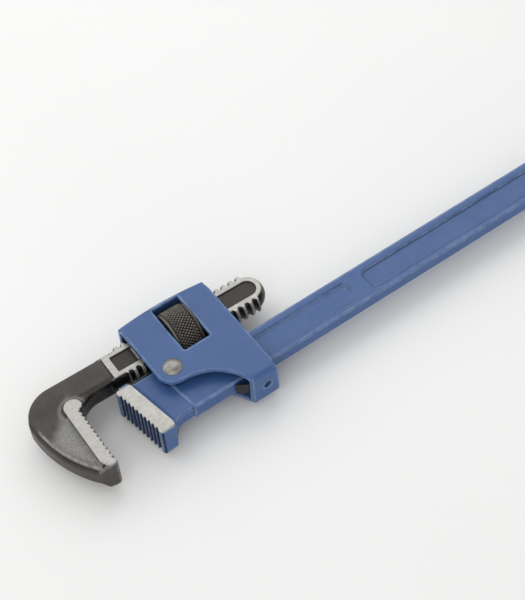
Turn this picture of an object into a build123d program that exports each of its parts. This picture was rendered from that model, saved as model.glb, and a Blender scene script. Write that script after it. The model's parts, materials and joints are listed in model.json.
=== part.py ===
from build123d import *
import math
import os

# Stillson-pattern pipe wrench, 350 mm class, as loose pieces that go together on a bench.
# Drawn with the rivet axis at X = Y = 0, the handle running along +X, the spine of the frame
# towards +Y and the middle plane at Z = 0. Everything moves to the bottom centre at the end.
# All sizes are in millimetres.

# ---- handle forging: bar, head block and heel jaw in one piece
HANDLE_END_X = 274.7
BAR_TOP_Y = -1.3
BAR_BOTTOM_Y = -23.1
BAR_HALF = 4.2
BAR_EDGE_RADIUS = 1.2
BAR_EDGE_START_X = 1.0
BAR_CENTRE_Y = (BAR_TOP_Y + BAR_BOTTOM_Y) / 2
BAR_END_RADIUS = (BAR_TOP_Y - BAR_BOTTOM_Y) / 2
BAR_END_X = HANDLE_END_X - BAR_END_RADIUS
HEAD_TOP_Y = 8.1
HEAD_HALF = 4.2
HEAD_OUTLINE = [
    (-30.4, 5.0),
    (-28.2, HEAD_TOP_Y),
    (0.0, HEAD_TOP_Y),
    (4.0, 4.0),
    (4.0, BAR_BOTTOM_Y),
    (-11.0, BAR_BOTTOM_Y),
    (-14.4, -24.4),
    (-18.5, -28.8),
    (-24.0, -28.8),
]
HUB_HALF = 4.8
HUB_OUTLINE = [
    (-4.9, -5.0),
    (-4.4, 2.0),
    (4.0, 5.0),
    (16.0, BAR_TOP_Y),
    (40.0, BAR_TOP_Y),
    (40.0, -23.5),
    (-3.0, -23.5),
]
BOSS_RADIUS = 6.2
BOSS_HALF = 8.7
JAW_HALF = 10.0
HEEL_TOP_FRONT = (-31.6, 4.2)
HEEL_BOTTOM_FRONT = (-26.4, -28.4)
HEEL_TOP_REAR = (-22.6, 5.8)
HEEL_BOTTOM_REAR = (-16.9, -26.4)
HEEL_OUTLINE = [
    HEEL_TOP_FRONT,
    HEEL_BOTTOM_FRONT,
    (-25.0, -29.6),
    (-19.6, -29.2),
    (-17.6, -27.8),
    HEEL_BOTTOM_REAR,
    HEEL_TOP_REAR,
    (-30.1, 5.8),
]
HEEL_RAMP_LENGTH = 4.6
HEEL_RAMP_TOP = 9.0
RAMP_BURIED = 1.0
WEB_DEPTH = 1.3
WEB_TOP_Y = -5.4
WEB_BOTTOM_Y = -20.6
WEB_START_X = 115.0
WEB_END_X = 248.0
WEB_CORNER_RADIUS = 5.0
PANEL_DEPTH = 0.5
PANEL_START_X = 50.0
PANEL_END_X = 104.5
PANEL_CORNER_RADIUS = 1.5
HANG_HOLE_RADIUS = 5.5

# ---- jaw teeth
TOOTH_PITCH = 3.0
TOOTH_DEPTH = 1.4
TOOTH_STEEP_SHARE = 0.12
TOOTH_SLOPE_SHARE = 0.85
TOOTH_OVERCUT = 0.3
HEEL_TEETH_START = 2.0
HOOK_TEETH_START = 1.5
HEEL_TEETH = 10
HOOK_TEETH = 12

# ---- pivot rivet
RIVET_RADIUS = 3.5
RIVET_HEAD_RADIUS = 5.4
RIVET_HEAD_HEIGHT = 2.5
PIVOT_CLEARANCE = 0.06

# ---- frame housing: two plates, a spine and a rear strap
FRAME_HALF = 11.5
FRAME_INNER_HALF = 9.0
FRAME_FRONT_X = -9.5
FRAME_REAR_X = 43.5
SPINE_FRONT_Y = 38.0
SPINE_MIDDLE = (17.0, 39.3)
SPINE_REAR_Y = 37.0
SPINE_THICKNESS = 2.3
NOSE_RADIUS = 9.6
STRAP_FRONT_X = 27.0
STRAP_OUTER_Y = -32.2
STRAP_THICKNESS = 2.6
BELLY_END_Y = -30.0
STRAP_CHAMFER = 0.8
STRAP_INNER_Y = STRAP_OUTER_Y + STRAP_THICKNESS
FRAME_EDGE_RADIUS = 2.2
FRAME_RIM_RADIUS = 0.6
SPINE_RIMS_Y = (36.0, 40.0)
SIDE_RIMS_Y = (-31.0, 36.0)
STRAP_RIMS_Y = (-33.0, -31.5)
WINDOW_X = (10.85, 27.0)
WINDOW_Y = (4.9, 36.4)
WINDOW_CORNER_RADIUS = 1.0
PIP_HOLE_X = 36.6
PIP_HOLE_RADIUS = 2.3

# ---- screw thread shared by the hook jaw and the nut, right-handed
THREAD_PITCH = 4.5
THREAD_MAJOR = 11.1
THREAD_ROOT = 9.6
TOOTH_TIP_WIDTH = 1.7
TOOTH_FOOT_WIDTH = 2.5
TOOTH_BURIED = 4.0
TOOTH_TRIMMED = 1.0
NUT_RIDGE_INNER = 9.85
NUT_BORE = 11.4
RIDGE_TIP_WIDTH = 1.1
RIDGE_FOOT_WIDTH = 1.9
RIDGE_BURIED = 0.4

# ---- adjusting nut
NUT_CENTRE = (18.9, 22.1)
NUT_RADIUS = 14.6
NUT_WIDTH = 15.0
NUT_CHAMFER = 0.9

# ---- hook jaw, drawn about the nut centre with X along the shank
SHANK_TILT = -1.385
SHANK_HALF = 5.9
SHANK_START_X = -44.5
SHANK_END_CENTRE_X = 42.2
SHANK_END_RADIUS = 9.6
SHANK_RECESS_START_X = -40.6
SHANK_RECESS_HALF = 5.0
SHANK_RECESS_DEPTH = 0.9
FIRST_THREAD_X = -35.0
THREADS = 18
NECK_HALF = 7.2
NECK_TOP_Y = 7.6
NECK_BOTTOM_Y = -8.9
NECK_CHAMFER = 1.8
HOOK_CROWN = (-77.0, NECK_TOP_Y)
HOOK_FRONT = (-95.3, -8.5)
HOOK_FLANK = (-81.5, -49.8)
HOOK_TIP_Y = -53.2
HOOK_UNDER = (-74.8, HOOK_TIP_Y)
HOOK_TEETH_X = -69.6
HOOK_CORNER = 1.0
THROAT = [(HOOK_TEETH_X, -16.5), (-67.0, -13.2), (-62.8, -10.2), (-58.0, NECK_BOTTOM_Y)]
LAND_LEFT_X = -77.0
LAND_LEFT_END_Y = -48.2
LAND_NOTCH = (-75.6, -50.6)
LAND_END_RADIUS = 5.0
LAND_END_CENTRE = (-71.9, -12.6)

# ---- springs
LEAF_THICKNESS = 0.8
LEAF_HALF_WIDTH = 3.5
LEAF_FRONT_X = -27.0
LEAF_REAR_X = 6.0
LEAF_REAR_Y = 10.4
LEAF_BEND_X = -19.0
LEAF_RIVET_X = -23.5
LEAF_RIVET_RADIUS = 1.6
LEAF_RIVET_DEPTH = 5.0
LEAF_RIVET_STEM = 4.6
LEAF_RIVET_HEAD_RADIUS = 2.6
LEAF_RIVET_HEAD_HEIGHT = 0.9
LEAF_RIVET_HEAD_EDGE = 0.5
COIL_X = -14.5
COIL_RADIUS = 2.2
COIL_WIRE_RADIUS = 0.4
COIL_PITCH = 2.4
POCKET_RADIUS = 3.0
POCKET_DEPTH = 11.0
FRAME_LEAF_HALF_WIDTH = 4.0
FRAME_LEAF_TIP = (22.0, -24.5)
FRAME_LEAF_FLAT_X = (34.0, 42.0)
FRAME_LEAF_PIP_LENGTH = 1.6
FRAME_LEAF_PIP_RADIUS = PIP_HOLE_RADIUS - 0.1


def slab(outline, half):
    """A plate of an outline, half as thick on each side of the middle plane."""
    return extrude(outline, amount=half, both=True)


def filled(*lines):
    """A face inside a closed chain of lines and arcs."""
    return make_face([edge for line in lines for edge in line.edges()])


def rounded_slot(x_low, x_high, y_low, y_high, radius):
    """A rectangle with rounded corners."""
    middle = Pos((x_low + x_high) / 2, (y_low + y_high) / 2)
    return middle * RectangleRounded(x_high - x_low, y_high - y_low, radius)


def polygon(corners):
    """A face with straight sides."""
    return make_face(Polyline(*corners, close=True))


def tooth_grooves(first, last, count):
    """Saw-tooth grooves, evenly spaced from the first point to the last, cut to the left of the line."""
    start = Vector(*first)
    step = (Vector(*last) - start) / count
    along = step.normalized()
    inward = Vector(-along.Y, along.X) * TOOTH_DEPTH
    grooves = []
    for index in range(count):
        foot = start + step * index
        opening = foot - inward * TOOTH_OVERCUT
        points = [opening, foot + step * TOOTH_STEEP_SHARE + inward, opening + step * TOOTH_SLOPE_SHARE]
        grooves.append(slab(polygon([(point.X, point.Y) for point in points]), 2 * JAW_HALF))
    return grooves


def sunk_panel(outline, depth):
    """What to take off both sides of the bar to sink a panel of that depth."""
    above = 2 * BAR_HALF
    cutter = extrude(outline, amount=above)
    top = Pos(0, 0, BAR_HALF - depth) * cutter
    bottom = Pos(0, 0, -BAR_HALF + depth - above) * cutter
    return top + bottom


def bar_blank():
    """The handle's bar with a round end, a rounded edge all along and thinned sides."""
    straight = Pos(BAR_END_X / 2, BAR_CENTRE_Y) * Rectangle(BAR_END_X, BAR_TOP_Y - BAR_BOTTOM_Y)
    end = Pos(BAR_END_X, BAR_CENTRE_Y) * Circle(BAR_END_RADIUS)
    bar = slab(straight + end, BAR_HALF)
    long_edges = bar.edges().filter_by(lambda edge: abs(abs(edge.center().Z) - BAR_HALF) < 0.01)
    bar = fillet(long_edges.filter_by(lambda edge: edge.center().X > BAR_EDGE_START_X), BAR_EDGE_RADIUS)
    web = rounded_slot(WEB_START_X, WEB_END_X, WEB_BOTTOM_Y, WEB_TOP_Y, WEB_CORNER_RADIUS)
    panel = rounded_slot(PANEL_START_X, PANEL_END_X, WEB_BOTTOM_Y, WEB_TOP_Y, PANEL_CORNER_RADIUS)
    return bar - sunk_panel(web, WEB_DEPTH) - sunk_panel(panel, PANEL_DEPTH)


def heel_ramps():
    """The slopes behind the heel jaw, from its full thickness down to the head."""
    rear = Vector(*HEEL_BOTTOM_REAR)
    run = Vector(*HEEL_TOP_REAR) - rear
    across = Plane(origin=(rear.X, rear.Y, 0), x_dir=(-run.Y, run.X, 0), z_dir=(run.X, run.Y, 0))
    ramps = []
    for side in (1, -1):
        foot = side * HEAD_HALF
        top = side * HEEL_RAMP_TOP
        corners = [(RAMP_BURIED, foot), (-HEEL_RAMP_LENGTH, foot), (0, top), (RAMP_BURIED, top)]
        ramps.append(extrude(across * polygon(corners), amount=run.length))
    return ramps


def handle_bar():
    """The forged handle with its integral heel jaw."""
    handle = bar_blank() + slab(polygon(HEAD_OUTLINE), HEAD_HALF) + slab(polygon(HUB_OUTLINE), HUB_HALF)
    handle += slab(polygon(HEEL_OUTLINE), JAW_HALF) + slab(Circle(BOSS_RADIUS), BOSS_HALF)
    for ramp in heel_ramps():
        handle += ramp
    face = (Vector(*HEEL_BOTTOM_FRONT) - Vector(*HEEL_TOP_FRONT)).normalized()
    first = Vector(*HEEL_TOP_FRONT) + face * HEEL_TEETH_START
    last = first + face * TOOTH_PITCH * HEEL_TEETH
    for groove in tooth_grooves((first.X, first.Y), (last.X, last.Y), HEEL_TEETH):
        handle -= groove
    handle -= slab(Circle(RIVET_RADIUS + PIVOT_CLEARANCE), 2 * BOSS_HALF)
    handle -= Pos(BAR_END_X, BAR_CENTRE_Y) * slab(Circle(HANG_HOLE_RADIUS), 2 * BAR_HALF)
    handle -= on_head_top(COIL_X) * Pos(0, 0, -POCKET_DEPTH / 2) * Cylinder(POCKET_RADIUS, POCKET_DEPTH)
    stem_middle = Pos(0, 0, -LEAF_RIVET_DEPTH / 2)
    handle -= on_head_top(LEAF_RIVET_X) * stem_middle * Cylinder(LEAF_RIVET_RADIUS, LEAF_RIVET_DEPTH)
    return handle


def on_head_top(x):
    """A place on the head's top edge, with Z pointing out of it."""
    return Location(Plane(origin=(x, HEAD_TOP_Y, 0), x_dir=(1, 0, 0), z_dir=(0, 1, 0)))


def pivot_rivet():
    """The solid rivet that the frame turns on, headed over both plates."""
    sphere_radius = (RIVET_HEAD_RADIUS**2 + RIVET_HEAD_HEIGHT**2) / (2 * RIVET_HEAD_HEIGHT)
    rivet = Cylinder(RIVET_RADIUS, 2 * FRAME_HALF + 0.2)
    for side in (1, -1):
        ball = Pos(0, 0, side * (FRAME_HALF + RIVET_HEAD_HEIGHT - sphere_radius)) * Sphere(sphere_radius)
        outside = Pos(0, 0, side * (FRAME_HALF + sphere_radius)) * Cylinder(
            2 * sphere_radius, 2 * sphere_radius
        )
        rivet += ball & outside
    return rivet


def spine_arc(drop):
    """The arched spine line, lowered by a wall thickness."""
    return ThreePointArc(
        (FRAME_REAR_X, SPINE_REAR_Y - drop),
        (SPINE_MIDDLE[0], SPINE_MIDDLE[1] - drop),
        (FRAME_FRONT_X, SPINE_FRONT_Y - drop),
    )


def frame_outline():
    """The side plate: a nose round the rivet, a hollow belly and a square rear."""
    nose_start = (FRAME_FRONT_X, -math.sqrt(NOSE_RADIUS**2 - FRAME_FRONT_X**2))
    nose_angle = math.radians(225)
    nose_middle = (NOSE_RADIUS * math.cos(nose_angle), NOSE_RADIUS * math.sin(nose_angle))
    belly_end = (STRAP_FRONT_X, BELLY_END_Y)
    return filled(
        spine_arc(0),
        Line((FRAME_FRONT_X, SPINE_FRONT_Y), nose_start),
        ThreePointArc(nose_start, nose_middle, (0, -NOSE_RADIUS)),
        TangentArc((0, -NOSE_RADIUS), belly_end, tangent=(1, 0)),
        Polyline(belly_end, (STRAP_FRONT_X + STRAP_CHAMFER, STRAP_OUTER_Y), (FRAME_REAR_X, STRAP_OUTER_Y)),
        Line((FRAME_REAR_X, STRAP_OUTER_Y), (FRAME_REAR_X, SPINE_REAR_Y)),
    )


def frame_cavity():
    """The space between the plates, open at the front, the rear and under the belly."""
    front = FRAME_FRONT_X
    rear = FRAME_REAR_X
    inside = filled(
        spine_arc(SPINE_THICKNESS),
        Line((front, SPINE_FRONT_Y - SPINE_THICKNESS), (front, STRAP_INNER_Y)),
        Line((front, STRAP_INNER_Y), (rear, STRAP_INNER_Y)),
        Line((rear, STRAP_INNER_Y), (rear, SPINE_REAR_Y - SPINE_THICKNESS)),
    )
    return slab(inside, FRAME_INNER_HALF)


def rims_between(frame, y_low, y_high):
    """The outer edges of both plates whose middles lie in a band of Y."""
    outer = frame.edges().filter_by(lambda edge: abs(abs(edge.center().Z) - FRAME_HALF) < 0.01)
    return outer.filter_by(lambda edge: y_low < edge.center().Y < y_high)


def frame_housing():
    """The frame that holds the nut and lets the hook jaw rock on the rivet."""
    frame = slab(frame_outline(), FRAME_HALF) - frame_cavity()
    frame = fillet(rims_between(frame, *SPINE_RIMS_Y), FRAME_EDGE_RADIUS)
    frame = fillet(rims_between(frame, *STRAP_RIMS_Y), FRAME_EDGE_RADIUS)
    frame = fillet(rims_between(frame, *SIDE_RIMS_Y), FRAME_RIM_RADIUS)
    window = rounded_slot(*WINDOW_X, *WINDOW_Y, WINDOW_CORNER_RADIUS)
    frame -= slab(window, 2 * FRAME_HALF)
    frame -= slab(Circle(RIVET_RADIUS), 2 * FRAME_HALF)
    frame -= pip_place() * Cylinder(PIP_HOLE_RADIUS, 4 * STRAP_THICKNESS)
    return frame


def pip_place():
    """The middle of the strap's inner face, with Z pointing out of the frame."""
    return Location(Plane(origin=(PIP_HOLE_X, STRAP_INNER_Y, 0), x_dir=(1, 0, 0), z_dir=(0, -1, 0)))


def shank_place():
    """The nut centre, with X along the shank."""
    return Location((NUT_CENTRE[0], NUT_CENTRE[1], 0), (0, 0, SHANK_TILT))


def thread_axis():
    """The thread axis at the nut centre, drawn with Z along the shank and X towards the spine."""
    return Location(Plane(origin=(0, 0, 0), x_dir=(0, 1, 0), z_dir=(1, 0, 0)))


def thread_tooth(x, side):
    """One tooth on an edge of the shank, slanted as the helix is where it crosses that edge."""
    slant = side * THREAD_PITCH / (2 * math.pi * THREAD_MAJOR) * SHANK_HALF
    tip = THREAD_MAJOR + TOOTH_TRIMMED
    growth = (TOOTH_FOOT_WIDTH - TOOTH_TIP_WIDTH) / (THREAD_MAJOR - THREAD_ROOT) / 2
    tip_half = TOOTH_TIP_WIDTH / 2 - growth * (tip - THREAD_MAJOR)
    foot = THREAD_ROOT - TOOTH_BURIED
    foot_half = TOOTH_FOOT_WIDTH / 2
    corners = [
        (x - slant - foot_half, side * foot),
        (x - slant - foot_half, side * THREAD_ROOT),
        (x - slant - tip_half, side * tip),
        (x - slant + tip_half, side * tip),
        (x - slant + foot_half, side * THREAD_ROOT),
        (x - slant + foot_half, side * foot),
    ]
    profile = Pos(0, 0, -SHANK_HALF) * make_face(Polyline(*corners, close=True))
    return Solid.extrude(profile.face(), Vector(2 * slant, 0, 2 * SHANK_HALF))


def along_shank(radius, x_low, x_high):
    """A round bar about the thread axis."""
    return Pos((x_low + x_high) / 2, 0, 0) * thread_axis() * Cylinder(radius, x_high - x_low)


def shank():
    """The flat shank with a thread on both edges, a long recess in each side and a round end."""
    start = SHANK_START_X - 1
    end = SHANK_END_CENTRE_X
    flat = slab(Pos((start + end) / 2, 0) * Rectangle(end - start, 2 * THREAD_ROOT), SHANK_HALF)
    blank = flat & along_shank(THREAD_ROOT, start, end)
    teeth = Part()
    for index in range(THREADS):
        x = FIRST_THREAD_X + index * THREAD_PITCH
        teeth += thread_tooth(x, 1)
        teeth += thread_tooth(x + THREAD_PITCH / 2, -1)
    teeth &= along_shank(THREAD_MAJOR, start, SHANK_END_CENTRE_X + SHANK_END_RADIUS)
    rear = Pos(end, 0) * slab(Circle(SHANK_END_RADIUS), SHANK_HALF)
    rear_half = Pos(end + SHANK_END_RADIUS, 0, 0) * Box(
        2 * SHANK_END_RADIUS, 4 * SHANK_END_RADIUS, 4 * SHANK_HALF
    )
    body = blank + teeth + (rear & rear_half)
    recess = filled(
        Line((end, SHANK_RECESS_HALF), (SHANK_RECESS_START_X, SHANK_RECESS_HALF)),
        Line((SHANK_RECESS_START_X, SHANK_RECESS_HALF), (SHANK_RECESS_START_X, -SHANK_RECESS_HALF)),
        Line((SHANK_RECESS_START_X, -SHANK_RECESS_HALF), (end, -SHANK_RECESS_HALF)),
        ThreePointArc((end, -SHANK_RECESS_HALF), (end + SHANK_RECESS_HALF, 0), (end, SHANK_RECESS_HALF)),
    )
    cutter = extrude(recess, amount=SHANK_HALF)
    body -= Pos(0, 0, SHANK_HALF - SHANK_RECESS_DEPTH) * cutter
    body -= Pos(0, 0, SHANK_RECESS_DEPTH - 2 * SHANK_HALF) * cutter
    return body


def hook_outline():
    """The neck and the hooked head."""
    over = TangentArc(HOOK_CROWN, HOOK_FRONT, tangent=(-1, 0))
    down = TangentArc(HOOK_FRONT, HOOK_FLANK, tangent=(0, -1))
    round_under = TangentArc(HOOK_FLANK, HOOK_UNDER, tangent=down % 1)
    corner = (HOOK_TEETH_X - HOOK_CORNER, HOOK_TIP_Y)
    tip = Polyline(HOOK_UNDER, corner, (HOOK_TEETH_X, HOOK_TIP_Y + HOOK_CORNER), THROAT[0], THROAT[1])
    return filled(
        Line((SHANK_START_X, NECK_TOP_Y), HOOK_CROWN),
        over,
        down,
        round_under,
        tip,
        ThreePointArc(THROAT[1], THROAT[2], THROAT[3]),
        Line(THROAT[3], (SHANK_START_X, NECK_BOTTOM_Y)),
        Line((SHANK_START_X, NECK_BOTTOM_Y), (SHANK_START_X, NECK_TOP_Y)),
    )


def hook_land():
    """The machined tooth land, proud of the head on both sides, down to the full-thickness tip."""
    corners = [
        (LAND_LEFT_X, LAND_END_CENTRE[1]),
        (LAND_LEFT_X, LAND_LEFT_END_Y),
        LAND_NOTCH,
        (HOOK_TEETH_X - HOOK_CORNER, HOOK_TIP_Y),
        (HOOK_TEETH_X, HOOK_TIP_Y + HOOK_CORNER),
        (HOOK_TEETH_X, LAND_END_CENTRE[1]),
    ]
    return slab(polygon(corners) + Pos(*LAND_END_CENTRE) * Circle(LAND_END_RADIUS), JAW_HALF)


def hook_jaw():
    """The sliding hook jaw in one forging, from its head to its threaded shank."""
    head = slab(hook_outline(), NECK_HALF)
    neck_edges = head.edges().filter_by(
        lambda edge: abs(abs(edge.center().Z) - NECK_HALF) < 0.01
        and abs(edge.center().Y - NECK_BOTTOM_Y) < 0.01
    )
    head = chamfer(neck_edges, NECK_CHAMFER)
    jaw = head + hook_land() + shank()
    first = (HOOK_TEETH_X, HOOK_TIP_Y + HOOK_TEETH_START)
    last = (HOOK_TEETH_X, HOOK_TIP_Y + HOOK_TEETH_START + TOOTH_PITCH * HOOK_TEETH)
    for groove in tooth_grooves(first, last, HOOK_TEETH):
        jaw -= groove
    return shank_place() * jaw


def nut_thread():
    """The helical ridge inside the nut, in the gaps between the shank's teeth."""
    turns_length = NUT_WIDTH + 2 * THREAD_PITCH
    start = THREAD_PITCH / 2 - THREAD_PITCH * math.ceil(turns_length / 2 / THREAD_PITCH)
    phase = (FIRST_THREAD_X + THREAD_PITCH * THREADS) % THREAD_PITCH
    foot = NUT_BORE + RIDGE_BURIED
    path = Helix(THREAD_PITCH, turns_length + THREAD_PITCH, NUT_BORE)
    corners = [
        (foot, -RIDGE_FOOT_WIDTH / 2),
        (NUT_RIDGE_INNER, -RIDGE_TIP_WIDTH / 2),
        (NUT_RIDGE_INNER, RIDGE_TIP_WIDTH / 2),
        (foot, RIDGE_FOOT_WIDTH / 2),
    ]
    profile = Plane.XZ * make_face(Polyline(*corners, close=True))
    ridge = sweep(profile, path=path, is_frenet=True)
    return Pos(0, 0, start + phase) * ridge


def adjusting_nut():
    """The knurled nut, with a thread that matches the shank."""
    ring = Cylinder(NUT_RADIUS, NUT_WIDTH)
    ring = chamfer(ring.edges().filter_by(GeomType.CIRCLE), NUT_CHAMFER)
    ring -= Cylinder(NUT_BORE, NUT_WIDTH + 1)
    ridge = nut_thread() & Cylinder(NUT_RADIUS - 1, NUT_WIDTH)
    return shank_place() * thread_axis() * (ring + ridge)


def shank_leaf_spring():
    """The flat spring on the head's top edge, which holds the shank up against the nut."""
    half = LEAF_THICKNESS / 2
    seat = HEAD_TOP_Y + half
    flat = Line((LEAF_FRONT_X, seat), (LEAF_BEND_X, seat))
    rise = Spline((LEAF_BEND_X, seat), (LEAF_REAR_X, LEAF_REAR_Y), tangents=((1, 0), (1, 0)))
    strip = slab(trace(Wire([flat, rise]), line_width=LEAF_THICKNESS), LEAF_HALF_WIDTH)
    return strip - on_head_top(LEAF_RIVET_X) * Cylinder(LEAF_RIVET_RADIUS, LEAF_RIVET_DEPTH)


def shank_spring_rivet():
    """The small round-head rivet that holds the flat spring down."""
    middle = LEAF_THICKNESS - LEAF_RIVET_STEM / 2
    stem = Pos(0, 0, middle) * Cylinder(LEAF_RIVET_RADIUS, LEAF_RIVET_STEM)
    head_middle = LEAF_THICKNESS + LEAF_RIVET_HEAD_HEIGHT / 2
    head = Pos(0, 0, head_middle) * Cylinder(LEAF_RIVET_HEAD_RADIUS, LEAF_RIVET_HEAD_HEIGHT)
    head = fillet(head.edges().sort_by(Axis.Z)[-1], LEAF_RIVET_HEAD_EDGE)
    return on_head_top(LEAF_RIVET_X) * (stem + head)


def shank_coil_spring():
    """The coil spring in the head's pocket, under the flat spring."""
    height = POCKET_DEPTH - 2 * COIL_WIRE_RADIUS
    path = Helix(COIL_PITCH, height, COIL_RADIUS)
    wire = sweep(Plane(origin=path @ 0, z_dir=path % 0) * Circle(COIL_WIRE_RADIUS), path=path, is_frenet=True)
    return on_head_top(COIL_X) * Pos(0, 0, -POCKET_DEPTH + COIL_WIRE_RADIUS) * wire


def frame_leaf_spring():
    """The flat spring between the strap and the handle, held by a pip in the strap's hole."""
    half = LEAF_THICKNESS / 2
    seat = STRAP_INNER_Y + half
    flat = Line((FRAME_LEAF_FLAT_X[1], seat), (FRAME_LEAF_FLAT_X[0], seat))
    rise = TangentArc((FRAME_LEAF_FLAT_X[0], seat), FRAME_LEAF_TIP, tangent=(-1, 0))
    strip = slab(trace(Wire([flat, rise]), line_width=LEAF_THICKNESS), FRAME_LEAF_HALF_WIDTH)
    pip = pip_place() * Pos(0, 0, FRAME_LEAF_PIP_LENGTH / 2 - half) * Cylinder(
        FRAME_LEAF_PIP_RADIUS, FRAME_LEAF_PIP_LENGTH + half
    )
    return strip + pip


NODES = {
    "handle_bar": handle_bar,
    "pivot_rivet": pivot_rivet,
    "frame_housing": frame_housing,
    "frame_leaf_spring": frame_leaf_spring,
    "adjusting_nut": adjusting_nut,
    "hook_jaw": hook_jaw,
    "shank_leaf_spring": shank_leaf_spring,
    "shank_coil_spring": shank_coil_spring,
    "shank_spring_rivet": shank_spring_rivet,
}


def main():
    """Build every piece, stand the lot on its bottom centre and write one file for each."""
    pieces = {name: build() for name, build in NODES.items()}
    box = Compound(children=[piece.solids()[0] for piece in pieces.values()]).bounding_box()
    home = Pos(-(box.min.X + box.max.X) / 2, -(box.min.Y + box.max.Y) / 2, -box.min.Z)
    os.makedirs("parts", exist_ok=True)
    for name, piece in pieces.items():
        export_step(home * Part(piece.solids()), f"parts/{name}.step")
    print("box", box.size, "rivet at", home.position)


main()
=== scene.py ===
import json
import math

import bpy
import numpy as np
from mathutils import Matrix, Vector


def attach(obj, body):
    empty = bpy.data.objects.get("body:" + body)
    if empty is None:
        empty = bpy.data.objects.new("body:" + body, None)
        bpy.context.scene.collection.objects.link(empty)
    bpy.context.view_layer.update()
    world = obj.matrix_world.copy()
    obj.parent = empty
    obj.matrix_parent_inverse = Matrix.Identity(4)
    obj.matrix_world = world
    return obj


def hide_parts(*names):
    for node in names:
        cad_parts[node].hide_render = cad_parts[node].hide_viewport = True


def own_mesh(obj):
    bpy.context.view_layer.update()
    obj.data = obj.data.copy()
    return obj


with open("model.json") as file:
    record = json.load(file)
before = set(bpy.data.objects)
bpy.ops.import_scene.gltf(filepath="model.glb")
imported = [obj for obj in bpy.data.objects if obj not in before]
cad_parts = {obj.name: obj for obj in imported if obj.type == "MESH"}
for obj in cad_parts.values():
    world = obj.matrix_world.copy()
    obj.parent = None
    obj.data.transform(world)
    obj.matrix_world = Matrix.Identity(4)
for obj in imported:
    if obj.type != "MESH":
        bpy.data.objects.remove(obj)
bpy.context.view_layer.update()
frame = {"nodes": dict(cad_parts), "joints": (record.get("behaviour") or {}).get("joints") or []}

# Shapes are drawn in millimetres from the rivet's axis, with the handle along +X, the spine of
# the frame towards +Y and the middle plane at Z = 0, and moved into the row frame at the end.
JOINTS = {joint["name"]: joint for joint in frame["joints"]}
RIVET = np.array(JOINTS["frame_pivot"]["pos_m"]) * 1000
NUT_CENTRE = np.array(JOINTS["nut_spin"]["pos_m"]) * 1000 - RIVET
SHANK_TILT = math.atan2(JOINTS["nut_spin"]["axis"][1], JOINTS["nut_spin"]["axis"][0])

# ---- handle
HANDLE_END_X = 274.65
BAR_CENTRE_Y = -12.2
BAR_HALF_WIDTH = 10.9
BAR_HALF = 4.2
BAR_NEAR_Y = BAR_CENTRE_Y - BAR_HALF_WIDTH
HEAD_HALF = 4.2
HUB_HALF = 4.8
JAW_HALF = 10.0
HEAD_TOP_Y = 8.1
HEEL_FACE = ((-31.6, 4.2), (-26.4, -28.4))
HEEL_REAR = ((-22.6, 5.8), (-16.9, -26.4))
HEEL_RAMP_RADIUS = 4.8
BOSS_RADIUS = 6.2
BOSS_HALF = 8.7
WEB_DEPTH = 1.3
PANEL_DEPTH = 0.5
PANEL_BORDER = 1.3
TOOTH_PITCH = 3.0
TOOTH_DEPTH = 1.4
TOOTH_FLANKS = (0.18, 0.82)
HEEL_TEETH_START = 2.0
HANG_HOLE_RADIUS = 5.5
RIVET_RADIUS = 3.5
PIVOT_CLEARANCE = 0.06
COIL_X = -14.5
POCKET_RADIUS = 3.0
POCKET_FLOOR_Y = -2.9
LEAF_RIVET_X = -23.5
LEAF_RIVET_RADIUS = 1.6

# ---- frame
FRAME_HALF = 11.5
FRAME_INNER_HALF = 9.0
FRAME_FRONT_X = -9.5
FRAME_REAR_X = 43.5
SPINE = ((FRAME_REAR_X, 37.0), (17.0, 39.3), (FRAME_FRONT_X, 38.0))
SPINE_THICKNESS = 2.3
NOSE_RADIUS = 9.6
STRAP_OUTER_Y = -32.2
STRAP_INNER_Y = -29.6
STRAP_FRONT_X = 27.0
BELLY_END_Y = -30.0
PIP_X = 36.6
PIP_RADIUS = 2.3

# ---- thread, nut and rivet
THREAD_PITCH = 4.5
THREAD_MAJOR = 11.1
THREAD_ROOT = 9.6
FIRST_THREAD_X = -35.0
THREAD_RUNOUT = (-38.0, -36.5)
NUT_RADIUS = 14.57
NUT_HALF_WIDTH = 7.5
NUT_BORE = 11.4
NUT_CHAMFER = 0.9
KNURL_STARTS = 48
KNURL_DEPTH = 0.7
RIVET_HEAD_RADIUS = 5.4
RIVET_HEAD_HEIGHT = 2.5

# ---- hook jaw, from the nut centre with X along the shank
SHANK_HALF = 5.9
SHANK_START_X = -44.5
SHANK_END_CENTRE_X = 42.2
RECESS_HALF_WIDTH = 5.0
RECESS_START_X = -40.6
RECESS_DEPTH = 0.9
CROSS_BAR_X = -27.6
SKIRT_HALF = 5.2
SKIRT_TIP_RISE = 4.4
NECK_HALF = 7.2
NECK_TOP_Y = 7.6
NECK_BOTTOM_Y = -8.9
HOOK_CROWN = (-77.0, NECK_TOP_Y)
HOOK_FRONT = (-95.3, -8.5)
HOOK_FLANK = (-81.5, -49.8)
HOOK_TIP_Y = -53.2
HOOK_TEETH_X = -69.6
HOOK_TEETH_START = 1.5
HOOK_TEETH = 12
NOTCH_CENTRE = (-76.6, -51.0)
LAND_LEFT_X = -77.0
LAND_END = (-71.9, -12.6)
LAND_END_RADIUS = 5.0


# ------------------------------------------------------------------ shapes as distance fields
def smooth(low, high, value):
    """0 below low, 1 above high and a smooth ramp between."""
    share = np.clip((value - low) / (high - low), 0, 1)
    return share * share * (3 - 2 * share)


def join(a, b, blend):
    """Both shapes, with a fillet of about that size where they meet."""
    overlap = np.maximum(blend - np.abs(a - b), 0) / blend
    return np.minimum(a, b) - overlap * overlap * blend / 4


def cut(a, b, blend):
    """The first shape without the second, with the new edge eased."""
    return -join(-a, b, blend)


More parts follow.
